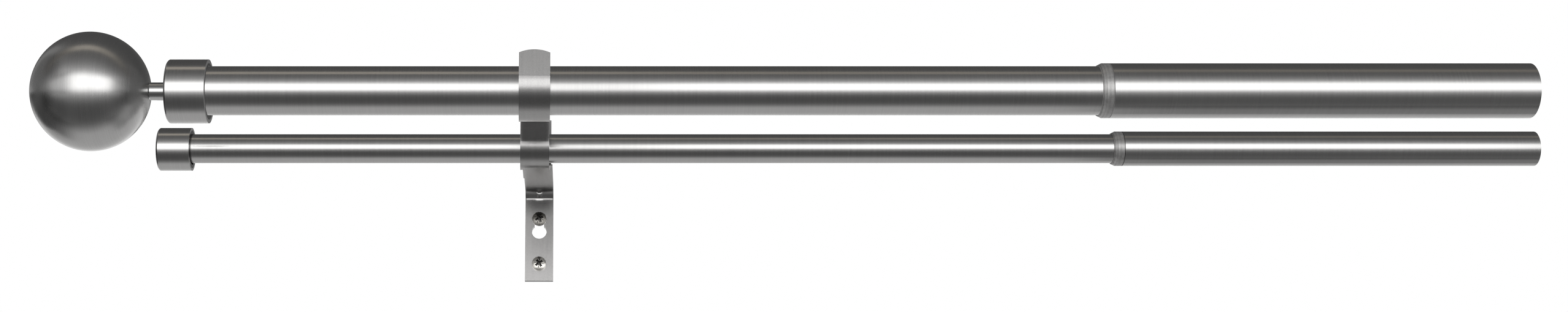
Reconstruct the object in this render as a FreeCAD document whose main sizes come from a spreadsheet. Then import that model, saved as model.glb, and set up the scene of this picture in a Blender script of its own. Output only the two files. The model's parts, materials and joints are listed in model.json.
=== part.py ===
import FreeCAD
import Part
import Sketcher
import os
import re

# Double curtain pole: a wall bracket carries two telescopic poles, a thick one
# in front and a thin one behind. All lengths are in millimetres.
# X runs along the poles, +Y points into the wall and +Z is up.
# The origin lies on the wall, midway between the two wall screws.

doc = FreeCAD.newDocument("DoubleCurtainPole")

# Driving dimensions
SIZES = [
    ("strip_width", 15.8),
    ("strip_thickness", 3.2),
    ("bend_radius", 3.5),
    ("underside_height", 28.95),
    ("rear_axis_to_wall", 48.0),
    ("pole_spacing", 92.3),
    ("bridge_height", 15.5),
    ("lip_height", 15.9),
    ("lip_crown", 1.7),
    ("cup_clearance", 0.2),
    ("rest_gap", 0.05),
    ("tail_length", 3.0),
    ("strip_yaw", 1.13),
    ("screw_spacing", 26.2),
    ("plate_tail", 9.6),
    ("keyhole_diameter", 8.3),
    ("keyhole_slot_width", 5.3),
    ("keyhole_drop", 7.2),
    ("screw_hole_diameter", 5.0),
    ("dart_length", 9.2),
    ("dart_width", 5.6),
    ("dart_depth", 4.0),
    ("dart_rise", 1.1),
    ("dart_slope", 45.0),
    ("stop_thickness", 2.5),
    ("stop_bend_radius", 1.5),
    ("stop_foot_length", 18.2),
    ("stop_height", 20.0),
    ("stop_side_shift", -0.8),
    ("screw_head_diameter", 7.9),
    ("screw_head_height", 2.4),
    ("screw_head_dome", 0.8),
    ("screw_neck_diameter", 3.2),
    ("screw_neck_length", 3.8),
    ("screw_shank_diameter", 4.0),
    ("screw_shank_length", 9.5),
    ("screw_point_length", 2.5),
    ("recess_span", 4.2),
    ("recess_width", 1.2),
    ("recess_depth", 1.5),
    ("tube_wall", 0.8),
    ("tube_step", 3.0),
    ("run_clearance", 0.08),
    ("seat_gap", 0.02),
    ("cap_wall", 3.0),
    ("cap_side_wall", 3.35),
    ("cap_bore_play", 0.9),
    ("cap_edge_radius", 1.0),
    ("grub_diameter", 4.0),
    ("grub_angle", 35.0),
    ("grub_sink", 0.3),
    ("grub_socket_span", 2.0),
    ("grub_socket_depth", 1.6),
    ("ring_gap", 0.25),
    ("ring_collar_length", 3.6),
    ("ring_nose_length", 2.0),
    ("ring_sleeve_length", 12.0),
    ("glide_spigot_length", 12.0),
    ("glide_collar_length", 10.0),
    ("glide_wall", 1.6),
    ("pin_diameter", 9.2),
    ("pin_length", 9.5),
    ("pin_thread_diameter", 6.0),
    ("pin_thread_length", 8.0),
    ("pin_edge", 0.4),
    ("ball_diameter", 61.0),
    ("ball_wall", 1.0),
    ("boss_diameter", 14.0),
    ("boss_length", 13.0),
    ("front_outer_diameter", 28.0),
    ("front_cap_start", -186.4),
    ("front_cap_length", 20.6),
    ("front_outer_start", 292.6),
    ("front_outer_length", 214.4),
    ("front_overlap", 115.0),
    ("rear_outer_diameter", 19.0),
    ("rear_cap_start", -208.4),
    ("rear_cap_length", 18.1),
    ("rear_outer_start", 321.0),
    ("rear_outer_length", 226.8),
    ("rear_overlap", 115.0),
]

sheet = doc.addObject("Spreadsheet::Sheet", "Sizes")
for row, (alias, value) in enumerate(SIZES, start=1):
    sheet.set(f"A{row}", alias)
    sheet.set(f"B{row}", str(value))
    sheet.setAlias(f"B{row}", alias)
doc.recompute()


ALIASES = {alias for alias, _ in SIZES}


def bind(text):
    """Turn the plain size names of an expression into readings of the sheet."""
    def qualify(word):
        return "Sizes." + word.group(0) if word.group(0) in ALIASES else word.group(0)
    return re.sub(r"[a-z]\w*", qualify, text)


def number(text):
    """The present value of an expression."""
    return float(sheet.evalExpression(bind(text)))


# Diameters that follow the outer tube of the same row
INNER = {row: f"({row}_outer_diameter - tube_step)" for row in ("front", "rear")}
CAP_BORE = {row: f"({INNER[row]} + cap_bore_play)" for row in INNER}
CAP_OUTER = {row: f"({CAP_BORE[row]} + 2 * cap_side_wall)" for row in INNER}
CAP_DROP = "(cap_bore_play / 2 - run_clearance)"

# Places that several pieces share, worked out from the sizes
ARM_TOP = "(underside_height + strip_thickness)"
BEND_OUTER = "(bend_radius + strip_thickness)"
AXIS_Z = f"({ARM_TOP} + rest_gap + {INNER['rear']} / 2)"
REAR_Y = "(-rear_axis_to_wall)"
FRONT_Y = "(-rear_axis_to_wall - pole_spacing)"
REAR_CUP = "(rear_outer_diameter / 2 + cup_clearance)"
FRONT_CUP = "(front_outer_diameter / 2 + cup_clearance)"
REAR_CUP_Z = f"({ARM_TOP} + {REAR_CUP})"
FRONT_CUP_Z = f"({AXIS_Z} - {INNER['front']} / 2 - rest_gap + {FRONT_CUP})"
BRIDGE_Z = f"({AXIS_Z} + bridge_height)"
LIP_Z = f"({AXIS_Z} + lip_height)"
LIP_Y = f"({FRONT_Y} - {FRONT_CUP} - strip_thickness)"
JOINT_Y = f"({REAR_Y} + tail_length)"
SCREW_Z = "(screw_spacing / 2)"


# Helpers that draw bound sketches and features
def new_body(label):
    body = doc.addObject("PartDesign::Body", label)
    body.Label = label
    return body


def place(body, x="0", y="0", z="0"):
    for axis, text in (("x", x), ("y", y), ("z", z)):
        body.setExpression(f"Placement.Base.{axis}", bind(text))


def new_sketch(body, name, plane, shift="0"):
    """A sketch on an origin plane of its body, moved by shift along the normal."""
    sketch = body.newObject("Sketcher::SketchObject", name)
    support = [item for item in body.Origin.OriginFeatures if item.Role == plane][0]
    sketch.AttachmentSupport = [(support, "")]
    sketch.MapMode = "FlatFace"
    sketch.setExpression("AttachmentOffset.Base.z", bind(shift))
    return sketch


def circle(sketch, x, y, diameter):
    centre = FreeCAD.Vector(number(x), number(y), 0)
    normal = FreeCAD.Vector(0, 0, 1)
    index = sketch.addGeometry(Part.Circle(centre, normal, number(diameter) / 2), False)
    for kind, text in (("DistanceX", x), ("DistanceY", y)):
        rule = sketch.addConstraint(Sketcher.Constraint(kind, index, 3, number(text)))
        sketch.setExpression(f"Constraints[{rule}]", bind(text))
    rule = sketch.addConstraint(Sketcher.Constraint("Diameter", index, number(diameter)))
    sketch.setExpression(f"Constraints[{rule}]", bind(diameter))


def outline(sketch, corners):
    """Draw a closed outline.

    Each corner is (x, y) and starts a straight side, or is (x, y, centre x, centre y,
    turn) and starts an arc to the next corner; turn is 1 for left and -1 for right.
    """
    spots = [FreeCAD.Vector(number(item[0]), number(item[1]), 0) for item in corners]
    ends = []
    for order, item in enumerate(corners):
        start = spots[order]
        finish = spots[(order + 1) % len(corners)]
        if len(item) == 2:
            index = sketch.addGeometry(Part.LineSegment(start, finish), False)
            ends.append((index, 1, 2))
            continue
        centre = FreeCAD.Vector(number(item[2]), number(item[3]), 0)
        first, last = (start, finish) if item[4] > 0 else (finish, start)
        begin = FreeCAD.Vector(1, 0, 0).getAngle(first - centre)
        begin = -begin if first.y < centre.y else begin
        stop = FreeCAD.Vector(1, 0, 0).getAngle(last - centre)
        stop = -stop if last.y < centre.y else stop
        round_part = Part.Circle(centre, FreeCAD.Vector(0, 0, 1), (first - centre).Length)
        index = sketch.addGeometry(Part.ArcOfCircle(round_part, begin, stop), False)
        ends.append((index, 1, 2) if item[4] > 0 else (index, 2, 1))
    for order, item in enumerate(corners):
        index, start, finish = ends[order]
        following = ends[(order + 1) % len(corners)]
        sketch.addConstraint(
            Sketcher.Constraint("Coincident", index, finish, following[0], following[1]))
        for kind, text in (("DistanceX", item[0]), ("DistanceY", item[1])):
            rule = sketch.addConstraint(Sketcher.Constraint(kind, index, start, number(text)))
            sketch.setExpression(f"Constraints[{rule}]", bind(text))
        if len(item) == 5:
            radius = f"sqrt(({item[0]} - {item[2]})^2 + ({item[1]} - {item[3]})^2)"
            rule = sketch.addConstraint(Sketcher.Constraint("Radius", index, number(radius)))
            sketch.setExpression(f"Constraints[{rule}]", bind(radius))


def pad(body, sketch, name, length, midplane=False):
    feature = body.newObject("PartDesign::Pad", name)
    feature.Profile = sketch
    feature.setExpression("Length", bind(length))
    feature.SideType = "Symmetric" if midplane else "One side"
    return feature


def pocket(body, sketch, name, length):
    feature = body.newObject("PartDesign::Pocket", name)
    feature.Profile = sketch
    feature.setExpression("Length", bind(length))
    return feature


def turn(body, sketch, name):
    """Revolve a half outline about the sketch's own horizontal axis."""
    feature = body.newObject("PartDesign::Revolution", name)
    feature.Profile = sketch
    feature.ReferenceAxis = (sketch, ["H_Axis"])
    feature.Angle = 360
    return feature


def turned_piece(label, corners, plane="XY_Plane"):
    body = new_body(label)
    sketch = new_sketch(body, label + "_outline", plane)
    outline(sketch, corners)
    turn(body, sketch, label + "_turned")
    return body


# Front strip: lip, front cup, bridge and rear cup, bent from one length of steel
def front_strip():
    body = new_body("front_strip")
    rear_in = f"({REAR_Y} - {REAR_CUP})"
    rear_out = f"({rear_in} - strip_thickness)"
    back_in = f"({FRONT_Y} + {FRONT_CUP})"
    back_out = f"({back_in} + strip_thickness)"
    lip_in = f"({FRONT_Y} - {FRONT_CUP})"
    front_out_radius = f"({FRONT_CUP} + strip_thickness)"
    bridge_top = f"({BRIDGE_Z} + strip_thickness)"
    corner_z = f"({bridge_top} - {BEND_OUTER})"
    under_z = f"({BRIDGE_Z} - bend_radius)"
    spare = "strip_thickness"
    side = new_sketch(body, "strip_side", "YZ_Plane")
    outline(side, [
        (f"{JOINT_Y} + {spare}", ARM_TOP),
        (REAR_Y, ARM_TOP, REAR_Y, REAR_CUP_Z, -1),
        (rear_in, REAR_CUP_Z),
        (rear_in, corner_z, f"{rear_in} - {BEND_OUTER}", corner_z, 1),
        (f"{rear_in} - {BEND_OUTER}", bridge_top),
        (f"{back_in} + {BEND_OUTER}", bridge_top, f"{back_in} + {BEND_OUTER}", corner_z, 1),
        (back_in, corner_z),
        (back_in, FRONT_CUP_Z, FRONT_Y, FRONT_CUP_Z, -1),
        (FRONT_Y, f"{FRONT_CUP_Z} - {FRONT_CUP}", FRONT_Y, FRONT_CUP_Z, -1),
        (lip_in, FRONT_CUP_Z),
        (lip_in, LIP_Z),
        (LIP_Y, LIP_Z),
        (LIP_Y, FRONT_CUP_Z, FRONT_Y, FRONT_CUP_Z, 1),
        (FRONT_Y, f"{FRONT_CUP_Z} - {front_out_radius}", FRONT_Y, FRONT_CUP_Z, 1),
        (back_out, FRONT_CUP_Z),
        (back_out, under_z, f"{back_out} + bend_radius", under_z, -1),
        (f"{back_out} + bend_radius", BRIDGE_Z),
        (f"{rear_out} - bend_radius", BRIDGE_Z, f"{rear_out} - bend_radius", under_z, -1),
        (rear_out, under_z),
        (rear_out, REAR_CUP_Z, REAR_Y, REAR_CUP_Z, 1),
        (REAR_Y, "underside_height"),
        (f"{JOINT_Y} + {spare}", "underside_height"),
    ])
    pad(body, side, "bent_strip", "strip_width", midplane=True)

    # The lip ends in a shallow arc
    half = "(strip_width / 2)"
    arc_radius = f"(({half}^2 + lip_crown^2) / (2 * lip_crown))"
    shoulder = f"({LIP_Z} - lip_crown)"
    arc_z = f"({LIP_Z} - {arc_radius})"
    crown = new_sketch(body, "lip_crown_outline", "XZ_Plane", f"-{LIP_Y}")
    outline(crown, [
        (f"-{half} - {spare}", shoulder),
        (f"-{half}", shoulder, "0", arc_z, -1),
        ("0", LIP_Z, "0", arc_z, -1),
        (half, shoulder),
        (f"{half} + {spare}", shoulder),
        (f"{half} + {spare}", f"{LIP_Z} + {spare}"),
        (f"-{half} - {spare}", f"{LIP_Z} + {spare}"),
    ])
    pocket(body, crown, "lip_crown_cut", "strip_thickness")

    # The strip sits slightly askew, so its tail is cut along the end of the arm
    joint = f"({FRONT_Y} + ({JOINT_Y} - ({FRONT_Y})) / cos(strip_yaw))"
    lean = f"({half} * tan(strip_yaw))"
    tail = new_sketch(body, "tail_cut_outline", "XY_Plane", ARM_TOP)
    outline(tail, [
        (f"-2 * {half}", f"{joint} + 2 * {lean}"),
        (f"2 * {half}", f"{joint} - 2 * {lean}"),
        (f"2 * {half}", f"{joint} + 3 * {spare}"),
        (f"-2 * {half}", f"{joint} + 3 * {spare}"),
    ])
    pocket(body, tail, "tail_cut", "strip_thickness")
    body.Placement.Rotation = FreeCAD.Rotation(FreeCAD.Vector(0, 0, 1), 1)
    body.setExpression("Placement.Rotation.Angle", bind("strip_yaw"))
    place(body, f"{FRONT_Y} * sin(strip_yaw)", f"{FRONT_Y} * (1 - cos(strip_yaw))")
    return body


# Bracket strip: the wall plate and the arm that carries the front strip at its end
def bracket_strip():
    body = new_body("bracket_strip")
    foot = f"(-{SCREW_Z} - plate_tail)"
    side = new_sketch(body, "arm_side", "YZ_Plane")
    outline(side, [
        ("0", foot),
        ("0", f"{ARM_TOP} - {BEND_OUTER}", f"-{BEND_OUTER}", f"{ARM_TOP} - {BEND_OUTER}", 1),
        (f"-{BEND_OUTER}", ARM_TOP),
        (JOINT_Y, ARM_TOP),
        (JOINT_Y, "underside_height"),
        ("-strip_thickness - bend_radius", "underside_height",
         "-strip_thickness - bend_radius", "underside_height - bend_radius", -1),
        ("-strip_thickness", "underside_height - bend_radius"),
        ("-strip_thickness", foot),
    ])
    pad(body, side, "bent_arm", "strip_width", midplane=True)

    # Keyhole: the round part passes a screw head and the slot above holds its neck
    wide = "(keyhole_diameter / 2)"
    slot = "(keyhole_slot_width / 2)"
    round_z = f"({SCREW_Z} - keyhole_drop)"
    throat_z = f"({round_z} + sqrt({wide}^2 - {slot}^2))"
    keyhole = new_sketch(body, "keyhole_outline", "XZ_Plane", "strip_thickness")
    outline(keyhole, [
        (slot, throat_z),
        (slot, SCREW_Z, "0", SCREW_Z, 1),
        ("0", f"{SCREW_Z} + {slot}", "0", SCREW_Z, 1),
        (f"-{slot}", SCREW_Z),
        (f"-{slot}", throat_z, "0", round_z, 1),
        (f"-{wide}", round_z, "0", round_z, 1),
        ("0", f"{round_z} - {wide}", "0", round_z, 1),
        (wide, round_z, "0", round_z, 1),
    ])
    pocket(body, keyhole, "keyhole_cut", "strip_thickness")
    hole = new_sketch(body, "screw_hole_outline", "XZ_Plane", "strip_thickness")
    circle(hole, "0", f"-{SCREW_Z}", "screw_hole_diameter")
    pocket(body, hole, "screw_hole_cut", "strip_thickness")

    # A dart pressed into the wall bend from behind stiffens it
    reach = "(bend_radius + dart_depth / 2 - dart_rise)"
    for name, kind, out in (("dart_bump", "PartDesign::AdditiveEllipsoid", "0"),
                            ("dart_hollow", "PartDesign::SubtractiveEllipsoid",
                             "strip_thickness")):
        dart = body.newObject(kind, name)
        dart.Angle1 = -90
        dart.Angle2 = 90
        dart.Angle3 = 360
        dart.setExpression("Radius1", bind("dart_length / 2"))
        dart.setExpression("Radius2", bind("dart_width / 2"))
        dart.setExpression("Radius3", bind("dart_depth / 2"))
        dart.Placement.Rotation = FreeCAD.Rotation(FreeCAD.Vector(1, 0, 0), 1)
        dart.setExpression("Placement.Rotation.Angle", bind("dart_slope"))
        dart.setExpression("Placement.Base.y", bind(
            f"-strip_thickness - bend_radius + ({reach} + {out}) * cos(dart_slope)"))
        dart.setExpression("Placement.Base.z", bind(
            f"underside_height - bend_radius + ({reach} + {out}) * sin(dart_slope)"))
    return body


# Rear stop: a short angle welded on the arm, the back wall of the rear cup
def rear_stop():
    body = new_body("rear_stop")
    face = f"({REAR_Y} + {REAR_CUP})"
    outer = "(stop_thickness + stop_bend_radius)"
    centre_y = f"({face} + {outer})"
    centre_z = f"({ARM_TOP} + {outer})"
    top = f"({AXIS_Z} + stop_height)"
    heel = f"({face} + stop_foot_length)"
    side = new_sketch(body, "stop_side", "YZ_Plane")
    outline(side, [
        (face, top),
        (face, centre_z, centre_y, centre_z, 1),
        (centre_y, ARM_TOP),
        (heel, ARM_TOP),
        (heel, f"{ARM_TOP} + stop_thickness"),
        (centre_y, f"{ARM_TOP} + stop_thickness", centre_y, centre_z, -1),
        (f"{face} + stop_thickness", centre_z),
        (f"{face} + stop_thickness", top),
    ])
    pad(body, side, "bent_stop", "strip_width", midplane=True)
    place(body, x="stop_side_shift")
    return body


# Wall screws: domed head with a cross recess, plain shank with a point
def wall_screw(label, height):
    body = new_body(label)
    head = "(screw_head_diameter / 2)"
    neck = "(screw_neck_diameter / 2)"
    shank = "(screw_shank_diameter / 2)"
    face = "(-strip_thickness)"
    thread = f"({face} + screw_neck_length)"
    rim = f"({face} - screw_head_height + screw_head_dome)"
    crest = f"({face} - screw_head_height)"
    tip = f"({face} + screw_shank_length)"
    dome = f"(({head}^2 + screw_head_dome^2) / (2 * screw_head_dome))"
    side = new_sketch(body, label + "_outline", "YZ_Plane")
    outline(side, [
        (crest, "0"),
        (tip, "0"),
        (f"{tip} - screw_point_length", shank),
        (thread, shank),
        (thread, neck),
        (face, neck),
        (face, head),
        (rim, head, f"{crest} + {dome}", "0", 1),
    ])
    turn(body, side, label + "_turned")
    arm = "(recess_span / 2)"
    slit = "(recess_width / 2)"
    recess = new_sketch(body, label + "_recess_outline", "XZ_Plane", f"-{crest}")
    outline(recess, [
        (arm, f"-{slit}"), (arm, slit), (slit, slit), (slit, arm), (f"-{slit}", arm),
        (f"-{slit}", slit), (f"-{arm}", slit), (f"-{arm}", f"-{slit}"),
        (f"-{slit}", f"-{slit}"), (f"-{slit}", f"-{arm}"), (slit, f"-{arm}"),
        (slit, f"-{slit}"),
    ])
    pocket(body, recess, label + "_recess", "recess_depth")
    place(body, z=height)
    return body


# Tubes of the telescopic poles
def tube(label, start, length, diameter, axis_y):
    body = new_body(label)
    ends = new_sketch(body, label + "_section", "YZ_Plane")
    circle(ends, "0", "0", diameter)
    circle(ends, "0", "0", f"{diameter} - 2 * tube_wall")
    pad(body, ends, label + "_drawn", length)
    place(body, start, axis_y, AXIS_Z)
    return body


# Glide ring: plastic collar pressed in the outer tube's end, runs on the inner tube
def glide_ring(row, axis_y):
    bore = f"({INNER[row]} / 2 + run_clearance)"
    sleeve = f"({row}_outer_diameter / 2 - tube_wall - seat_gap)"
    collar = f"({row}_outer_diameter / 2)"
    face = "(-ring_gap)"
    shoulder = f"({face} - ring_collar_length)"
    nose = f"({shoulder} - ring_nose_length)"
    body = turned_piece(f"{row}_glide_ring", [
        (nose, bore),
        ("ring_sleeve_length", bore),
        ("ring_sleeve_length", sleeve),
        ("0", sleeve),
        (face, sleeve),
        (face, collar),
        (shoulder, collar),
        (nose, f"({bore} + {collar}) / 2 - ring_gap"),
    ])
    place(body, f"{row}_outer_start", axis_y, AXIS_Z)
    return body


# Inner glide: plastic bush plugged in the hidden end of the inner tube
def inner_glide(row, axis_y):
    spigot = f"({INNER[row]} / 2 - tube_wall - seat_gap)"
    collar = f"({row}_outer_diameter / 2 - tube_wall - run_clearance)"
    opening = f"({spigot} - glide_wall)"
    body = turned_piece(f"{row}_inner_glide", [
        ("-glide_spigot_length", opening),
        ("glide_collar_length", opening),
        ("glide_collar_length", collar),
        ("0", collar),
        ("0", spigot),
        ("-glide_spigot_length", spigot),
    ])
    place(body, f"{row}_outer_start + {row}_overlap", axis_y, AXIS_Z)
    return body


# End cap: a turned sleeve closed at one end, drawn down onto the tube by its screw
def end_cap(row, axis_y, threaded):
    outer = f"({CAP_OUTER[row]} / 2)"
    bore = f"({CAP_BORE[row]} / 2)"
    hollow = "(pin_thread_diameter / 2 + seat_gap)" if threaded else "0"
    edge = "cap_edge_radius"
    corners = [
        ("0", hollow),
        ("0", f"{outer} - {edge}", edge, f"{outer} - {edge}", -1),
        (edge, outer),
        (f"{row}_cap_length", outer),
        (f"{row}_cap_length", bore),
        ("cap_wall", bore),
        ("cap_wall", hollow),
    ]
    body = turned_piece(f"{row}_end_cap", corners)
    drill = body.newObject("PartDesign::SubtractiveCylinder", f"{row}_grub_hole")
    drill.setExpression("Radius", bind("grub_diameter / 2 + seat_gap"))
    drill.setExpression("Height", bind(outer))
    drill.Placement.Rotation = FreeCAD.Rotation(FreeCAD.Vector(1, 0, 0), 1)
    drill.setExpression("Placement.Rotation.Angle", bind("180 + grub_angle"))
    drill.setExpression("Placement.Base.x", bind(f"({row}_cap_length + cap_wall) / 2"))
    draw_down(body, f"{row}_cap_start", axis_y)
    return body


def draw_down(body, x, axis_y):
    """Place a body that the grub screw pulls off the tube's axis, towards the screw."""
    place(body, x, f"{axis_y} + {CAP_DROP} * sin(grub_angle)",
          f"{AXIS_Z} - {CAP_DROP} * cos(grub_angle)")


# Grub screw: seated on the tube, with a hexagon socket
def grub_screw(row, axis_y):
    label = f"{row}_cap_grub_screw"
    body = new_body(label)
    reach = f"({INNER[row]} / 2 + seat_gap)"
    head = f"({CAP_OUTER[row]} / 2 + {CAP_DROP} - grub_sink)"
    end = new_sketch(body, label + "_section", "XY_Plane", reach)
    circle(end, "0", "0", "grub_diameter")
    pad(body, end, label + "_turned", f"{head} - {reach}")
    flat = "(grub_socket_span / 2)"
    corner = f"({flat} / cos(30))"
    socket = new_sketch(body, label + "_socket_outline", "XY_Plane", head)
    outline(socket, [
        (corner, "0"), (f"{corner} / 2", flat), (f"-{corner} / 2", flat),
        (f"-{corner}", "0"), (f"-{corner} / 2", f"-{flat}"), (f"{corner} / 2", f"-{flat}"),
    ])
    pocket(body, socket, label + "_socket", "grub_socket_depth")
    body.Placement.Rotation = FreeCAD.Rotation(FreeCAD.Vector(1, 0, 0), 1)
    body.setExpression("Placement.Rotation.Angle", bind("180 + grub_angle"))
    place(body, f"{row}_cap_start + ({row}_cap_length + cap_wall) / 2", axis_y, AXIS_Z)
    return body


# Finial pin: a turned neck with a threaded stud at each end
def finial_pin():
    neck = "(pin_diameter / 2)"
    stud = "(pin_thread_diameter / 2)"
    body = turned_piece("finial_pin", [
        ("-pin_length - pin_thread_length", "0"),
        ("cap_wall", "0"),
        ("cap_wall", stud),
        ("0", stud),
        ("0", f"{neck} - pin_edge"),
        ("-pin_edge", neck),
        ("-pin_length + pin_edge", neck),
        ("-pin_length", f"{neck} - pin_edge"),
        ("-pin_length", stud),
        ("-pin_length - pin_thread_length", stud),
    ])
    draw_down(body, "front_cap_start", FRONT_Y)
    return body


# Ball finial: a thin spun ball with a threaded boss inside
def ball_finial():
    outer = "(ball_diameter / 2)"
    inner = f"({outer} - ball_wall)"
    boss = "(boss_diameter / 2)"
    tap = "(pin_thread_diameter / 2 + seat_gap)"
    flat = "(pin_diameter / 2)"
    mouth = f"sqrt({outer}^2 - {flat}^2)"
    root = f"sqrt({inner}^2 - {boss}^2)"
    body = turned_piece("ball_finial", [
        (f"-{outer}", "0", "0", "0", -1),
        ("0", outer, "0", "0", -1),
        (mouth, flat),
        (mouth, tap),
        (f"{mouth} - boss_length", tap),
        (f"{mouth} - boss_length", boss),
        (root, boss, "0", "0", 1),
        ("0", inner, "0", "0", 1),
        (f"-{inner}", "0"),
    ])
    draw_down(body, f"front_cap_start - pin_length - {mouth}", FRONT_Y)
    return body


pieces = [front_strip(), bracket_strip(), rear_stop(),
          wall_screw("upper_wall_screw", SCREW_Z),
          wall_screw("lower_wall_screw", f"-{SCREW_Z}"),
          finial_pin(), ball_finial()]
for row, axis_y in (("front", FRONT_Y), ("rear", REAR_Y)):
    inner_start = f"({row}_cap_start + cap_wall)"
    pieces += [
        tube(f"{row}_inner_tube", inner_start,
             f"{row}_outer_start + {row}_overlap - {inner_start}",
             INNER[row], axis_y),
        tube(f"{row}_outer_tube", f"{row}_outer_start", f"{row}_outer_length",
             f"{row}_outer_diameter", axis_y),
        glide_ring(row, axis_y),
        inner_glide(row, axis_y),
        end_cap(row, axis_y, threaded=row == "front"),
        grub_screw(row, axis_y),
    ]
doc.recompute()

for item in doc.Objects:
    if "Invalid" in item.State or "Error" in item.State:
        raise RuntimeError(f"{item.Label} failed: {item.State}")
for body in pieces:
    if body.Shape.isNull() or not body.Shape.isValid():
        raise RuntimeError(f"{body.Label} has no valid shape")

os.makedirs("parts", exist_ok=True)
for body in pieces:
    body.Shape.exportStep(f"parts/{body.Label}.step")
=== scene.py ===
import json
import math
import bpy
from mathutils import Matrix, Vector


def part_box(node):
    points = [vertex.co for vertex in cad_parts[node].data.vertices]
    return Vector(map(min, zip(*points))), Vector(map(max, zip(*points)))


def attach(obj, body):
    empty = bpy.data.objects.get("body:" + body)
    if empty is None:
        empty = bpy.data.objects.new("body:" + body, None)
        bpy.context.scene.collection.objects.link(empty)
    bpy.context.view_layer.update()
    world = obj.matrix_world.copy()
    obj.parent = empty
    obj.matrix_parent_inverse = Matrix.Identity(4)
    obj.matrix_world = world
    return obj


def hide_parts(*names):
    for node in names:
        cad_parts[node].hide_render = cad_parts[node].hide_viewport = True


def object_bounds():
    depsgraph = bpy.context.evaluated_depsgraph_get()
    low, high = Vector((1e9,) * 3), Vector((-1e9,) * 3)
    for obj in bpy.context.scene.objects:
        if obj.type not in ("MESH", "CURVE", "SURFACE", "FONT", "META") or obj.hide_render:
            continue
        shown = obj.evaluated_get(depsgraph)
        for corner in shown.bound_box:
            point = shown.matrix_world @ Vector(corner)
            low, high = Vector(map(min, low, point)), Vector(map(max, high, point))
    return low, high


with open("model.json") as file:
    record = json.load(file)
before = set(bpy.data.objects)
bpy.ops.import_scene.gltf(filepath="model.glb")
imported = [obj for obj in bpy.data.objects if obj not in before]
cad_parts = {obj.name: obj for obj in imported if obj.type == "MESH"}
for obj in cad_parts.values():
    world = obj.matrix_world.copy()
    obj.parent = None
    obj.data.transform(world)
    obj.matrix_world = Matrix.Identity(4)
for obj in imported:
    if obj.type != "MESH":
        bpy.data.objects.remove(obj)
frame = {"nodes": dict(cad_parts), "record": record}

cad_low, cad_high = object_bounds()
nodes = frame["nodes"]


def middle(name):
    """The middle of a node's box, read from the frame."""
    low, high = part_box(name)
    return (low + high) / 2


FRONT = middle("front_inner_tube")
REAR = middle("rear_inner_tube")

# Camera: a long lens that looks up at the poles from below, as in the photograph
PHOTO_WIDTH = 2556
PHOTO_HEIGHT = 509
FOCAL_PIXELS = 3500
LOOK_UP = math.radians(18.5)
AXIS_PIXEL = 950
FRONT_AXIS_PIXEL = 148
BRACKET_TO_AXIS = 0.0246
FRONT_DEPTH = 1.094
SENSOR_WIDTH = 36
FAR_CLIP = 40


def make_camera():
    data = bpy.data.cameras.new("camera")
    data.sensor_width = SENSOR_WIDTH
    data.lens = FOCAL_PIXELS / PHOTO_WIDTH * data.sensor_width
    data.shift_x = 0.5 - AXIS_PIXEL / PHOTO_WIDTH
    data.clip_end = FAR_CLIP
    camera = bpy.data.objects.new("camera", data)
    bpy.context.collection.objects.link(camera)
    ahead = Vector((0, math.cos(LOOK_UP), math.sin(LOOK_UP)))
    above = Vector((0, -math.sin(LOOK_UP), math.cos(LOOK_UP)))
    rise = (PHOTO_HEIGHT / 2 - FRONT_AXIS_PIXEL) / FOCAL_PIXELS * FRONT_DEPTH
    seen = Vector((BRACKET_TO_AXIS, FRONT.y, FRONT.z))
    camera.location = seen - ahead * FRONT_DEPTH - above * rise
    camera.rotation_euler = (math.radians(90) + LOOK_UP, 0, 0)
    bpy.context.scene.camera = camera


# Studio: a shell round the poles, bright in front, dark above and below, grey behind
STUDIO_RADIUS = 1.3
STUDIO_CENTRE = (FRONT + REAR) / 2
SHELL_STEP = 4
SHELL_TONES = [
    # degrees above straight ahead, grey
    (-180, 0.9), (-170, 0.62), (-150, 0.5), (-106, 0.48), (-96, 0.32), (-86, 0.17),
    (-76, 0.105), (-60, 0.09), (-46, 0.10), (-36, 0.17), (-28, 0.33), (-22, 0.62),
    (-17, 1.5), (-13, 2.0), (9, 2.0), (14, 1.1), (20, 0.5), (30, 0.31), (41, 0.19),
    (52, 0.145), (62, 0.14), (66, 0.45), (74, 0.45), (78, 0.13), (90, 0.10),
    (130, 0.08), (155, 0.11), (164, 0.3), (172, 0.9), (180, 0.9),
]
# A narrow band overhead is a little warmer than the rest
WARM_FROM = 63
WARM_TO = 77
WARM = (1.08, 1.0, 0.88)
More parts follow.
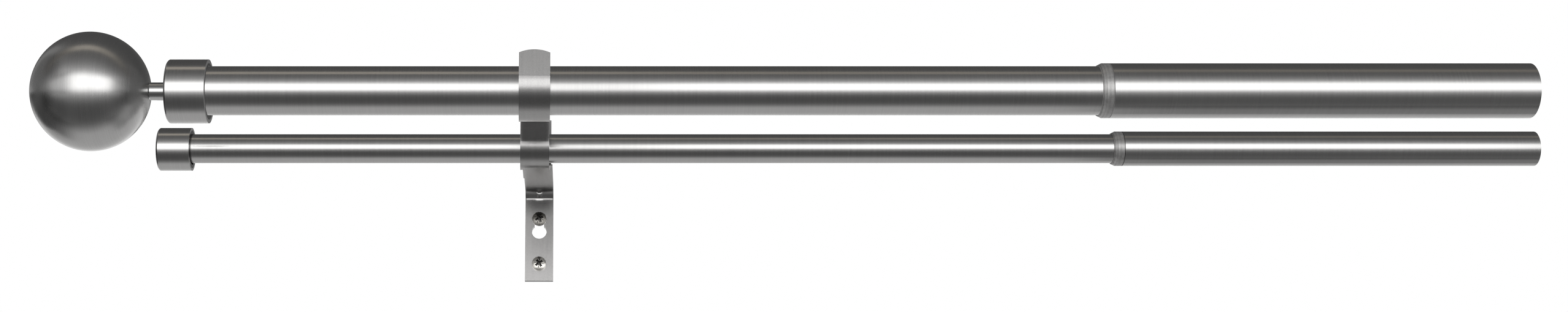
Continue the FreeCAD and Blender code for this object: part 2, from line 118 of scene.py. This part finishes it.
# Along the poles the softbox ends at both sides, and its frame parts it in two. Each
# span takes its own share of the zones: the softbox, the dark bands below it, the dull
# ones above it, what hangs low, what is behind, what is high up behind, and the warm
# band overhead.
ZONES = ("box", "below", "above", "low", "rear", "high", "warm")
SHELL_SPANS = [
    # name, start and end along X, share of each zone
    ("far_left", -3.2, -1.5, (0.32, 0.9, 0.55, 0.15, 0.12, 1.8, 0.32)),
    ("left", -1.5, -1.15, (0.32, 0.8, 1.4, 0.3, 0.8, 3.0, 0.32)),
    ("left_edge", -1.15, -1.0, (0.38, 1.0, 1.35, 0.45, 0.9, 1.6, 0.38)),
    ("left_rim", -1.0, -0.86, (0.5, 1.3, 1.2, 0.6, 0.95, 1.2, 0.5)),
    ("left_side", -0.86, -0.74, (0.75, 1.3, 1.0, 0.8, 1.0, 1.0, 0.75)),
    ("left_box", -0.74, -0.04, (1.0, 1.0, 1.0, 1.0, 1.0, 1.0, 1.0)),
    ("box_frame", -0.04, 0.1, (0.75, 1.0, 1.0, 1.0, 1.0, 1.0, 0.85)),
    ("right_box", 0.1, 0.6, (1.0, 1.0, 1.0, 1.0, 1.0, 1.0, 0.72)),
    ("right_far", 0.6, 1.15, (1.0, 1.2, 0.9, 0.5, 1.0, 1.0, 0.5)),
    ("right_side", 1.15, 1.3, (0.62, 1.3, 0.9, 0.6, 0.7, 1.3, 0.45)),
    ("right_rim", 1.3, 1.5, (0.45, 1.2, 1.0, 0.8, 0.6, 1.4, 0.4)),
    ("right", 1.5, 3.2, (0.22, 1.0, 1.0, 0.75, 0.4, 1.4, 0.25)),
]
LEFT_END_TONES = [
    # degrees above straight ahead, grey
    (-180, 0.1), (-150, 0.1), (-125, 0.04), (-84, 0.015), (-40, 0.02), (-20, 0.1),
    (-6, 0.22), (14, 0.24), (40, 0.2), (60, 0.08), (90, 0.12), (110, 0.18),
    (150, 0.12), (180, 0.1),
]
RIGHT_END_TONES = [
    # degrees above straight ahead, grey
    (-180, 0.14), (-110, 0.16), (-84, 0.04), (-30, 0.03), (-6, 0.2), (12, 0.24),
    (24, 0.13), (90, 0.13), (130, 0.11), (180, 0.14),
]
# Degrees and greys that part the zones
LOW_BAND = (-136, -84)
OVERHEAD = 90
REAR_FROM = 160
BOX_TONE = 0.5
DARK_TONE = 0.16


def emission(name, colour):
    material = bpy.data.materials.new(name)
    material.use_nodes = True
    tree = material.node_tree
    tree.nodes.clear()
    light = tree.nodes.new("ShaderNodeEmission")
    light.inputs["Color"].default_value = (*colour, 1)
    out = tree.nodes.new("ShaderNodeOutputMaterial")
    tree.links.new(light.outputs[0], out.inputs["Surface"])
    return material


def tone_at(tones, angle):
    for (start, first), (end, last) in zip(tones, tones[1:]):
        if start <= angle <= end:
            return first + (last - first) * (angle - start) / (end - start)
    return tones[0][1]


def hang(name, spots, face, material):
    """A panel that only mirrors see: a studio panel, or one of the panels that paint shade
    and glints on the bracket.
    """
    mesh = bpy.data.meshes.new(name)
    mesh.from_pydata(spots, [], [face])
    panel = bpy.data.objects.new(name, mesh)
    bpy.context.collection.objects.link(panel)
    panel.data.materials.append(material)
    panel.visible_camera = False
    panel.visible_shadow = False
    panel.visible_diffuse = False


def shell_spot(angle, x, radius):
    turned = math.radians(angle)
    return (x, STUDIO_CENTRE.y - radius * math.cos(turned),
            STUDIO_CENTRE.z + radius * math.sin(turned))


def make_strip(name, low, high, left, right, tone):
    spots = [shell_spot(low, left, STUDIO_RADIUS), shell_spot(low, right, STUDIO_RADIUS),
             shell_spot(high, right, STUDIO_RADIUS), shell_spot(high, left, STUDIO_RADIUS)]
    hang(name, spots, (0, 1, 2, 3), emission(name, tone))


def shell_zone(angle, grey):
    """The part of the studio that a band of the shell stands for."""
    if WARM_FROM < angle < WARM_TO:
        return "warm"
    if LOW_BAND[0] < angle < LOW_BAND[1]:
        return "low"
    if angle > REAR_FROM or angle < LOW_BAND[0]:
        return "rear"
    if angle > OVERHEAD:
        return "high"
    if grey > BOX_TONE:
        return "box"
    if angle > 0:
        return "above"
    return "below" if grey < DARK_TONE else "plain"


def make_shell():
    for angle in range(-180, 180, SHELL_STEP):
        middle_angle = angle + SHELL_STEP / 2
        grey = tone_at(SHELL_TONES, middle_angle)
        zone = shell_zone(middle_angle, grey)
        tint = WARM if WARM_FROM < middle_angle < WARM_TO else (1, 1, 1)
        for side, left, right, shares in SHELL_SPANS:
            share = dict(zip(ZONES, shares)).get(zone, 1.0)
            tone = tuple(grey * share * part for part in tint)
            name = f"{side}_{angle + 180:03d}"
            make_strip(name, angle, angle + SHELL_STEP, left, right, tone)


def make_end_wall(side, x, tones):
    """A fan of dim panels that closes the shell beyond the ends of the poles."""
    for angle in range(-180, 180, SHELL_STEP * 2):
        after = angle + SHELL_STEP * 2
        grey = tone_at(tones, (angle + after) / 2)
        name = f"{side}_{angle + 180:03d}"
        spots = [shell_spot(angle, x, 0), shell_spot(angle, x, STUDIO_RADIUS),
                 shell_spot(after, x, STUDIO_RADIUS)]
        hang(name, spots, (0, 1, 2), emission(name, (grey, grey, grey)))


# Two black panels, seen only in mirrors, paint shade into the reflections in the bracket's
# hollows: on the rear leg under the front cup, and on the plate's top and the bend under
# the arm
ARM_THICKNESS = 0.0032
LEG_SHADE_PANEL_TONE = (0.085, 0.085, 0.085)
LEG_SHADE_PANEL_SIDES = (-0.0096, 0.0068)
LEG_SHADE_PANEL_GAP = 0.012
LEG_SHADE_PANEL_HEIGHT = 0.03
ARM_SHADE_PANEL_TONE = (0.02, 0.02, 0.02)
ARM_SHADE_PANEL_HALF_WIDTH = 0.0075
ARM_SHADE_PANEL_GAP = 0.0006
# Three bright cards, seen only in mirrors, paint a glint line into the crease under the
# arm; the middle one hangs lower, so that the painted bright line dips under the pressed
# dart
CREASE_GLINT_TONE = (2.5, 2.5, 2.5)
CREASE_GLINT_REACH = 0.0031
CREASE_GLINT_HEIGHT = 0.001
CREASE_GLINT_CARDS = [
    # start and end along X, drop of the card's foot below the arm
    (-0.0074, -0.0021, 0.0029),
    (-0.0021, 0.0019, 0.0034),
    (0.0019, 0.0074, 0.0029),
]


def clear_behind(material):
    """Keeps a material on the side its face looks to and clears it from the other."""
    tree = material.node_tree
    out = next(made for made in tree.nodes if made.type == "OUTPUT_MATERIAL")
    shown = out.inputs["Surface"].links[0].from_socket
    side = tree.nodes.new("ShaderNodeNewGeometry")
    clear = tree.nodes.new("ShaderNodeBsdfTransparent")
    mix = tree.nodes.new("ShaderNodeMixShader")
    tree.links.new(side.outputs["Backfacing"], mix.inputs[0])
    tree.links.new(shown, mix.inputs[1])
    tree.links.new(clear.outputs[0], mix.inputs[2])
    tree.links.new(mix.outputs[0], out.inputs["Surface"])
    return material


def upright(left, right, y, low, high):
    """Corners of an upright panel; turned round, they make it look to the wall."""
    return [(left, y, low), (right, y, low), (right, y, high), (left, y, high)]


def make_shade_and_glint_panels():
    left, right = LEG_SHADE_PANEL_SIDES
    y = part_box("rear_inner_tube")[0].y - LEG_SHADE_PANEL_GAP
    # Painted shade: a dark panel in front of the rear tube, seen only in mirrors, darkens
    # the rear leg
    hang("leg_shade_panel", upright(left, right, y, REAR.z, REAR.z + LEG_SHADE_PANEL_HEIGHT),
         (0, 1, 2, 3), emission("leg_shade_panel", LEG_SHADE_PANEL_TONE))

    arm_low, arm_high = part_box("bracket_strip")
    underside = arm_high.z - ARM_THICKNESS
    z = underside - ARM_SHADE_PANEL_GAP
    back = -ARM_THICKNESS - ARM_SHADE_PANEL_GAP
    half = ARM_SHADE_PANEL_HALF_WIDTH
    # Painted shade: a dark panel just under the arm, seen only in mirrors, darkens the
    # plate's top and the bend
    hang("arm_shade_panel", [(-half, back, z), (half, back, z), (half, arm_low.y, z),
                      (-half, arm_low.y, z)],
         (0, 1, 2, 3), clear_behind(emission("arm_shade_panel", ARM_SHADE_PANEL_TONE)))

    # Painted highlight: bright cards seen only in mirrors put a glint line into the crease
    bright = clear_behind(emission("crease_glint_card", CREASE_GLINT_TONE))
    y = -ARM_THICKNESS - CREASE_GLINT_REACH
    for number, (left, right, drop) in enumerate(CREASE_GLINT_CARDS):
        low = underside - drop
        spots = upright(left, right, y, low, low + CREASE_GLINT_HEIGHT)
        hang(f"crease_glint_card_{number}", spots, (0, 3, 2, 1), bright)


SOFT_LIGHT = 0.9
WHITE_LIGHT = 1.0


def make_world():
    world = bpy.data.worlds.new("studio")
    bpy.context.scene.world = world
    world.use_nodes = True
    tree = world.node_tree
    tree.nodes.clear()
    path = tree.nodes.new("ShaderNodeLightPath")
    most = tree.nodes.new("ShaderNodeMath")
    most.operation = "MAXIMUM"
    tree.links.new(path.outputs["Is Camera Ray"], most.inputs[0])
    tree.links.new(path.outputs["Is Glossy Ray"], most.inputs[1])
    seen = tree.nodes.new("ShaderNodeMath")
    seen.operation = "MAXIMUM"
    tree.links.new(most.outputs[0], seen.inputs[0])
    tree.links.new(path.outputs["Is Transmission Ray"], seen.inputs[1])
    soft = tree.nodes.new("ShaderNodeBackground")
    soft.inputs["Strength"].default_value = SOFT_LIGHT
    white = tree.nodes.new("ShaderNodeBackground")
    white.inputs["Color"].default_value = (1, 1, 1, 1)
    white.inputs["Strength"].default_value = WHITE_LIGHT
    mix = tree.nodes.new("ShaderNodeMixShader")
    out = tree.nodes.new("ShaderNodeOutputWorld")
    tree.links.new(seen.outputs[0], mix.inputs[0])
    tree.links.new(soft.outputs[0], mix.inputs[1])
    tree.links.new(white.outputs[0], mix.inputs[2])
    tree.links.new(mix.outputs[0], out.inputs["Surface"])


FLOOR_DROP = 1.5
FLOOR_HALF_WIDTH = 9.0
FLOOR_COLOUR = (0.86, 0.86, 0.86, 1)
FLOOR_ROUGHNESS = 0.9


def make_floor():
    """A pale floor, clear from below, so that it hides nothing in low views."""
    half = FLOOR_HALF_WIDTH
    z = cad_low.z - FLOOR_DROP
    mesh = bpy.data.meshes.new("floor")
    mesh.from_pydata([(-half, -half, z), (half, -half, z), (half, half, z),
                      (-half, half, z)], [], [(0, 1, 2, 3)])
    floor = bpy.data.objects.new("floor", mesh)
    bpy.context.collection.objects.link(floor)
    material = bpy.data.materials.new("floor_pale")
    material.use_nodes = True
    shader = material.node_tree.nodes["Principled BSDF"]
    shader.inputs["Base Color"].default_value = FLOOR_COLOUR
    shader.inputs["Roughness"].default_value = FLOOR_ROUGHNESS
    floor.data.materials.append(clear_behind(material))


LAMP_AIM = (0.1, 0, 0)
LAMP_SIZE = (2.0, 1.2)
LAMPS = [
    # name, place, watts
    ("key_lamp", (-1.6, -2.6, 1.6), 60),
    ("fill_lamp", (1.8, -2.4, 0.6), 35),
]


def make_lamp(name, place, power):
    data = bpy.data.lights.new(name, "AREA")
    data.shape = "RECTANGLE"
    data.size, data.size_y = LAMP_SIZE
    data.energy = power
    lamp = bpy.data.objects.new(name, data)
    bpy.context.collection.objects.link(lamp)
    lamp.location = place
    ahead = Vector(LAMP_AIM) - Vector(place)
    lamp.rotation_euler = ahead.to_track_quat("-Z", "Y").to_euler()
    lamp.visible_glossy = False


# Metal and plastic finishes: their noise, and how its middle is spread
NOISE_DETAIL = 4
NOISE_ROUGHNESS = 0.6
NOISE_SPREAD = (0.25, 0.75)
EVEN = (1, 1, 1)
TINT_SPREAD = (0.3, 0.7)
# Sockets of a Mix node that mixes colours
MIX_A, MIX_B, MIX_OUT = 6, 7, 2


def node(tree, kind, **values):
    """A new node with its inputs set by name."""
    made = tree.nodes.new(kind)
    for key, value in values.items():
        made.inputs[key.replace("_", " ")].default_value = value
    return made


def streaks(tree, stretch, scale, detail=NOISE_DETAIL):
    """Noise drawn out along one or two axes, read from the object's own coordinates."""
    where = tree.nodes.new("ShaderNodeTexCoord")
    bent = tree.nodes.new("ShaderNodeMapping")
    bent.inputs["Scale"].default_value = stretch
    noise = node(tree, "ShaderNodeTexNoise", Scale=scale, Detail=detail,
                 Roughness=NOISE_ROUGHNESS)
    tree.links.new(where.outputs["Object"], bent.inputs["Vector"])
    tree.links.new(bent.outputs["Vector"], noise.inputs["Vector"])
    return noise.outputs["Fac"]


def ranged(tree, source, low, high):
    spread = node(tree, "ShaderNodeMapRange", From_Min=NOISE_SPREAD[0],
                  From_Max=NOISE_SPREAD[1], To_Min=low, To_Max=high)
    tree.links.new(source, spread.inputs["Value"])
    return spread.outputs[0]


def tinted(tree, source, dark, light):
    ramp = tree.nodes.new("ShaderNodeValToRGB")
    first, last = ramp.color_ramp.elements
    first.position, last.position = TINT_SPREAD
    first.color = (*dark, 1)
    last.color = (*light, 1)
    tree.links.new(source, ramp.inputs["Fac"])
    return ramp.outputs["Color"]


def metal(name, rough, anisotropic=0.0, turn=0.0):
    """A bare metal; its gloss can be drawn out round the X axis, or across that."""
    material = bpy.data.materials.new(name)
    material.use_nodes = True
    tree = material.node_tree
    shader = tree.nodes["Principled BSDF"]
    shader.inputs["Metallic"].default_value = 1
    shader.inputs["Roughness"].default_value = rough
    if anisotropic:
        shader.inputs["Anisotropic"].default_value = anisotropic
        shader.inputs["Anisotropic Rotation"].default_value = turn
        tangent = tree.nodes.new("ShaderNodeTangent")
        tangent.direction_type = "RADIAL"
        tangent.axis = "X"
        tree.links.new(tangent.outputs[0], shader.inputs["Tangent"])
    return material, tree, shader


def bumped(tree, shader, height, strength, distance):
    bump = node(tree, "ShaderNodeBump", Strength=strength, Distance=distance)
    tree.links.new(height, bump.inputs["Height"])
    tree.links.new(bump.outputs[0], shader.inputs["Normal"])


def brushed(name, dark, light, rough, stretch, scale, bump=0.05, lift=0.00002,
            anisotropic=0.0, turn=0.0):
    """Steel with noise drawn out into scratches, or with an even grain."""
    material, tree, shader = metal(name, rough[0], anisotropic, turn)
    grain = streaks(tree, stretch, scale)
    tree.links.new(tinted(tree, grain, dark, light), shader.inputs["Base Color"])
    tree.links.new(ranged(tree, grain, *rough), shader.inputs["Roughness"])
    bumped(tree, shader, grain, bump, lift)
    return material


GRAIN_SCALE = 1800
GRAIN_DETAIL = 5
GRAIN_SHARE = 0.7
GRAIN_BUMP = 0.12
GRAIN_LIFT = 0.00002
MARK_SCALE = 500
MARK_STRETCH = (1, 0.06, 0.06)
MARK_SHARE = 0.3


def sheet_steel(name, dark, light, rough):
    """Rolled strip: a fine even grain with faint long marks."""
    material, tree, shader = metal(name, rough[0])
    grain = streaks(tree, EVEN, GRAIN_SCALE, detail=GRAIN_DETAIL)
    marks = streaks(tree, MARK_STRETCH, MARK_SCALE)
    both = node(tree, "ShaderNodeMath")
    both.operation = "MULTIPLY_ADD"
    both.inputs[1].default_value = MARK_SHARE
    shrink = node(tree, "ShaderNodeMath")
    shrink.operation = "MULTIPLY"
    shrink.inputs[1].default_value = GRAIN_SHARE
    tree.links.new(grain, shrink.inputs[0])
    tree.links.new(marks, both.inputs[0])
    tree.links.new(shrink.outputs[0], both.inputs[2])
    tree.links.new(tinted(tree, both.outputs[0], dark, light), shader.inputs["Base Color"])
    tree.links.new(ranged(tree, both.outputs[0], *rough), shader.inputs["Roughness"])
    bumped(tree, shader, grain, GRAIN_BUMP, GRAIN_LIFT)
    return material


# Along the ring: share of its length, and the grey of a painted band of highlight or shade
# there
RING_LIGHT_AND_SHADE_BANDS = [
    (0.0, 0.85), (0.02, 0.5), (0.05, 0.95), (0.11, 0.75), (0.125, 1.0), (0.19, 0.8),
    (0.25, 0.95), (0.30, 0.85), (0.315, 0.35), (1.0, 0.35),
]


def painted_ring_bands(tree):
    """The painted bands of highlight and shade as a colour, by the place along the ring's
    own length.
    """
    where = tree.nodes.new("ShaderNodeTexCoord")
    split = tree.nodes.new("ShaderNodeSeparateXYZ")
    tree.links.new(where.outputs["Generated"], split.inputs[0])
    ramp = tree.nodes.new("ShaderNodeValToRGB")
    steps = ramp.color_ramp.elements
    while len(steps) < len(RING_LIGHT_AND_SHADE_BANDS):
        steps.new(0.5)
    for step, (place, share) in zip(steps, RING_LIGHT_AND_SHADE_BANDS):
        step.position = place
        step.color = (share, share, share, 1)
    tree.links.new(split.outputs["X"], ramp.inputs["Fac"])
    return ramp.outputs["Color"]


PLASTIC_METALLIC = 0.8
PLASTIC_IOR = 1.5
PLASTIC_GRAIN_SCALE = 700
PLASTIC_BUMP = 0.3
PLASTIC_LIFT = 0.00004


def banded_grey_plastic(name, dark, light, rough):
    """Grey, mostly metallic plastic with painted bands of highlight and shade along its
    length.
    """
    material, tree, shader = metal(name, rough[0])
    shader.inputs["Metallic"].default_value = PLASTIC_METALLIC
    shader.inputs["IOR"].default_value = PLASTIC_IOR
    grain = streaks(tree, EVEN, PLASTIC_GRAIN_SCALE)
    banded = tree.nodes.new("ShaderNodeMix")
    banded.data_type = "RGBA"
    banded.blend_type = "MULTIPLY"
    banded.inputs[0].default_value = 1
    tree.links.new(tinted(tree, grain, dark, light), banded.inputs[MIX_A])
    # The bands multiply painted highlight and shade lines into the plastic's colour
    tree.links.new(painted_ring_bands(tree), banded.inputs[MIX_B])
    tree.links.new(banded.outputs[MIX_OUT], shader.inputs["Base Color"])
    tree.links.new(ranged(tree, grain, *rough), shader.inputs["Roughness"])
    bumped(tree, shader, grain, PLASTIC_BUMP, PLASTIC_LIFT)
    return material


def cap_end_painted_hollow(name, rough, rim_from, inside, rim):
    """The open end of a cap: a turned rim round a near-black disc that paints the shade of
    the hollow inside.
    """
    material, tree, shader = metal(name, rough)
    where = tree.nodes.new("ShaderNodeTexCoord")
    centred = tree.nodes.new("ShaderNodeVectorMath")
    centred.operation = "MULTIPLY_ADD"
    centred.inputs[1].default_value = (0, 2, 2)   # the cap's box becomes -1 to 1
    centred.inputs[2].default_value = (0, -1, -1)
    radius = tree.nodes.new("ShaderNodeVectorMath")
    radius.operation = "LENGTH"
    tree.links.new(where.outputs["Generated"], centred.inputs[0])
    tree.links.new(centred.outputs[0], radius.inputs[0])
    ramp = tree.nodes.new("ShaderNodeValToRGB")
    first, last = ramp.color_ramp.elements
    first.position, last.position = rim_from
    first.color = (*inside, 1)
    last.color = (*rim, 1)
    tree.links.new(radius.outputs["Value"], ramp.inputs["Fac"])
    tree.links.new(ramp.outputs["Color"], shader.inputs["Base Color"])
    return material


STEEL_DARK = (0.575, 0.57, 0.565)
STEEL_LIGHT = (0.625, 0.62, 0.612)
FINISHES = {
    "satin_tube": brushed("satin_tube", STEEL_DARK, STEEL_LIGHT, (0.17, 0.21),
                          (1, 0.015, 0.015), 2600, anisotropic=0.5),
    "satin_cap": brushed("satin_cap", STEEL_DARK, STEEL_LIGHT, (0.14, 0.18),
                         (1, 0.02, 0.02), 2600, anisotropic=0.5),
    "satin_ball": brushed("satin_ball", STEEL_DARK, STEEL_LIGHT, (0.25, 0.28),
                          (1, 0.02, 0.02), 1900, bump=0.16, anisotropic=0.65, turn=0.25),
    "bracket_steel": sheet_steel("bracket_steel", (0.435, 0.43, 0.425),
                                 (0.515, 0.508, 0.502), (0.22, 0.27)),
    "turned_pin": brushed("turned_pin", (0.6, 0.6, 0.6), (0.66, 0.66, 0.65), (0.08, 0.12),
                          (1, 0.02, 0.02), 3000),
    "screw_steel": brushed("screw_steel", (0.5, 0.485, 0.45), (0.74, 0.72, 0.68),
                           (0.14, 0.24), EVEN, 700, bump=0.25),
    "grey_plastic": banded_grey_plastic("grey_plastic", (0.38, 0.375, 0.37), (0.5, 0.495, 0.49),
                                  (0.3, 0.4)),
}

# A darker copy of the screw steel for the upper screw: painted shade
SHADED_SCREW_STEEL = brushed("screw_steel_painted_shade", (0.15, 0.145, 0.135), (0.34, 0.325, 0.3), (0.2, 0.32),
                    EVEN, 700, bump=0.25)
# Near-black steel for the faces of the cross recess and its marks: painted shade
RECESS_SHADE_STEEL = brushed("recess_shade_steel", (0.05, 0.05, 0.048), (0.12, 0.115, 0.11),
                       (0.3, 0.4), EVEN, 900, bump=0.2)
# Rough steel for tube bores, near-black: painted shade inside the tubes
BORE_SHADE_STEEL = brushed("bore_shade_steel", (0.1, 0.1, 0.098), (0.17, 0.168, 0.165), (0.45, 0.6),
                     (0.05, 1, 1), 900, bump=0.1)
# Cap ends: a steel rim round a near-black disc of painted shade
CAP_END_PAINTED_HOLLOW = cap_end_painted_hollow("cap_end_painted_hollow", 0.3, (0.87, 0.9), (0.05, 0.05, 0.049), STEEL_LIGHT)
OPEN_CAPS = ("front_end_cap", "rear_end_cap")
END_FACING = 0.9
END_REACH = 0.0005

# Edges that catch the light are rounded by this much
SOFT_EDGES = {
    "front_strip": 0.00035, "bracket_strip": 0.00035, "rear_stop": 0.0003,
    "front_end_cap": 0.0003, "rear_end_cap": 0.0003,
    "front_glide_ring": 0.0002, "rear_glide_ring": 0.0002,
}
SOFT_SEGMENTS = 2
SOFT_FROM = math.radians(35)

# The rear pole would mirror these as dark bands, which the photograph doesn't show
KEPT_OUT_OF_MIRRORS = ("front_inner_tube", "front_outer_tube", "front_glide_ring",
                       "front_inner_glide", "front_end_cap", "front_cap_grub_screw",
                       "ball_finial")

# Tubes whose inside isn't brushed and is painted near-black as shade, and the part of the
# radius that counts as outside
SHADED_BORES = ("front_inner_tube", "front_outer_tube", "rear_inner_tube", "rear_outer_tube")
SKIN_SHARE = 0.985


def shade_bore(thing, low, high):
    """The bore of a tube takes a rougher steel, as its unbrushed inside has, in a
    near-black colour that paints the shade inside the tube.
    """
    centre = (low + high) / 2
    outer = (high.z - low.z) / 2
    thing.data.materials.append(BORE_SHADE_STEEL)
    for face in thing.data.polygons:
        spot = thing.matrix_world @ face.center
        radius = math.hypot(spot.y - centre.y, spot.z - centre.z)
        inward = (spot.y - centre.y) * face.normal.y + (spot.z - centre.z) * face.normal.z
        if radius < outer * SKIN_SHARE and inward < -radius / 2:
            face.material_index = 1


def open_end(thing, high):
    """The open end of a cap looks along X and lies at its right side; its faces there take
    the painted shade of the hollow.
    """
    thing.data.materials.append(CAP_END_PAINTED_HOLLOW)
    for face in thing.data.polygons:
        spot = thing.matrix_world @ face.center
        if face.normal.x > END_FACING and spot.x > high.x - END_REACH:
            face.material_index = 1


def soften(thing, width):
    bevel = thing.modifiers.new("soft_edges", "BEVEL")
    bevel.width = width
    bevel.segments = SOFT_SEGMENTS
    bevel.limit_method = "ANGLE"
    bevel.angle_limit = SOFT_FROM
    bevel.harden_normals = True


def dress_nodes():
    slots = {row["node"]: row["material_slot"] for row in frame["record"]["subparts"]}
    for name, thing in nodes.items():
        thing.data.materials.clear()
        thing.data.materials.append(FINISHES[slots[name]])
        thing.visible_glossy = name not in KEPT_OUT_OF_MIRRORS
        if name in SHADED_BORES:
            shade_bore(thing, *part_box(name))
        if name in OPEN_CAPS:
            open_end(thing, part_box(name)[1])
        if name in SOFT_EDGES:
            soften(thing, SOFT_EDGES[name])


# Wall screws with a cross recess, its four marks, a raised rim and a thread
SCREW_TURNS = 144
HEAD_RINGS = 46
HEAD_HEIGHT = 0.0024
HEAD_DOME = 0.0008
RIM_HEIGHT = 0.00012
RIM_BAND = (0.80, 0.95)
CROSS_HALF_WIDTH = 0.00062
CROSS_HALF_SPAN = 0.0023
CROSS_DEPTH = 0.0013
CROSS_WALL = 0.00028
MARK_HALF_WIDTH = 0.00013
MARK_SPAN = (0.0009, 0.0027)
MARK_DEPTH = 0.00022
NECK_RADIUS = 0.0016
NECK_LENGTH = 0.0038
THREAD_RADIUS = 0.002
ROOT_RADIUS = 0.0015
THREAD_PITCH = 0.0013
THREAD_STEPS = 70
THREAD_SHARPNESS = 3
POINT_LENGTH = 0.0025
POINT_RADIUS = 0.00004
SCREWS = [
    # name, node in the solids, degrees turned, finish
    # The upper screw takes the darker copy of the steel, which paints shade on it
    ("upper_screw_shape", "upper_wall_screw", 22, SHADED_SCREW_STEEL),
    ("lower_screw_shape", "lower_wall_screw", 35, FINISHES["screw_steel"]),
]


def trimmed(value):
    return max(0.0, min(1.0, value))


def slot_depth(across, along):
    """Share of the recess's depth at one spot of one arm of the cross."""
    side = trimmed((CROSS_HALF_WIDTH - abs(across)) / CROSS_WALL)
    end = trimmed((CROSS_HALF_SPAN - abs(along)) / CROSS_WALL)
    return side * end


def head_height(radius, angle, edge):
    """Height of the head over its own shoulder at one spot."""
    dome = HEAD_DOME * (1 - (radius / edge) ** 2)
    share = radius / edge
    rim = RIM_HEIGHT if RIM_BAND[0] < share < RIM_BAND[1] else 0.0
    x = radius * math.cos(angle)
    z = radius * math.sin(angle)
    cross = max(slot_depth(x, z), slot_depth(z, x))
    u = (x + z) / math.sqrt(2)
    v = (x - z) / math.sqrt(2)
    marks = 0.0
    for across, along in ((u, v), (v, u)):
        if abs(across) < MARK_HALF_WIDTH and MARK_SPAN[0] < abs(along) < MARK_SPAN[1]:
            marks = 1.0
    return dome + rim - max(cross * CROSS_DEPTH, marks * MARK_DEPTH)


def screw_rings(low, high):
    """Rings of (radius, place along Y) for each angle, from the crest to the point."""
    edge = (high.x - low.x) / 2
    face = low.y + HEAD_HEIGHT
    shoulder = low.y + HEAD_DOME
    angles = [2 * math.pi * step / SCREW_TURNS for step in range(SCREW_TURNS)]
    rings = []
    for step in range(1, HEAD_RINGS + 1):
        radius = edge * step / HEAD_RINGS
        rings.append([(radius, shoulder - head_height(radius, angle, edge))
                      for angle in angles])
    for radius, y in ((edge, face), (NECK_RADIUS, face), (NECK_RADIUS, face + NECK_LENGTH)):
        rings.append([(radius, y) for _ in angles])
    start = face + NECK_LENGTH
    for step in range(1, THREAD_STEPS + 1):
        y = start + (high.y - start) * step / THREAD_STEPS
        taper = trimmed((high.y - y) / POINT_LENGTH)
        ring = []
        for angle in angles:
            turn = ((y - start) / THREAD_PITCH - angle / (2 * math.pi)) % 1
            ridge = trimmed(1 - abs(turn - 0.5) * THREAD_SHARPNESS)
            radius = ROOT_RADIUS + (THREAD_RADIUS - ROOT_RADIUS) * ridge
            ring.append((max(POINT_RADIUS, radius * taper), y))
        rings.append(ring)
    return angles, rings


def is_sunk(face, low, centre):
    """True for a face on the walls or the floor of the recess and of the marks."""
    across = face.center.x - centre.x
    up = face.center.z - centre.z
    radius = math.hypot(across, up)
    edge = centre.x - low.x
    if radius > edge * RIM_BAND[0] or face.center.y > low.y + HEAD_HEIGHT:
        return False
    surface = low.y + HEAD_DOME * (radius / edge) ** 2
    return face.center.y > surface + MARK_DEPTH / 2


def make_screw(name, cad_node, turned, finish):
    low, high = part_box(cad_node)
    centre = (low + high) / 2
    angles, rings = screw_rings(low, high)
    spots = [(centre.x, low.y + CROSS_DEPTH, centre.z)]
    for ring in rings:
        for angle, (radius, y) in zip(angles, ring):
            way = angle + math.radians(turned)
            spots.append((centre.x + radius * math.cos(way), y,
                          centre.z + radius * math.sin(way)))
    count = len(angles)
    faces = [(0, 1 + (step + 1) % count, 1 + step) for step in range(count)]
    for ring in range(len(rings) - 1):
        first = 1 + ring * count
        second = first + count
        for step in range(count):
            after = (step + 1) % count
            faces.append((first + step, first + after, second + after, second + step))
    last = 1 + (len(rings) - 1) * count
    faces.append(tuple(last + step for step in range(count)))
    mesh = bpy.data.meshes.new(name)
    mesh.from_pydata(spots, [], faces)
    mesh.materials.append(finish)
    mesh.materials.append(RECESS_SHADE_STEEL)
    # Faces of the recess and the marks take the near-black steel: painted shade
    for face in mesh.polygons:
        if is_sunk(face, low, centre):
            face.material_index = 1
    screw = bpy.data.objects.new(name, mesh)
    bpy.context.collection.objects.link(screw)
    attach(screw, "bracket_and_inner_poles")
    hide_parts(cad_node)


dress_nodes()
for row in SCREWS:
    make_screw(*row)
make_camera()
make_world()
make_floor()
make_shell()
make_end_wall("left_end", SHELL_SPANS[0][1], LEFT_END_TONES)
make_end_wall("right_end", SHELL_SPANS[-1][2], RIGHT_END_TONES)
make_shade_and_glint_panels()
for row in LAMPS:
    make_lamp(*row)

bpy.context.scene.view_settings.view_transform = "Standard"
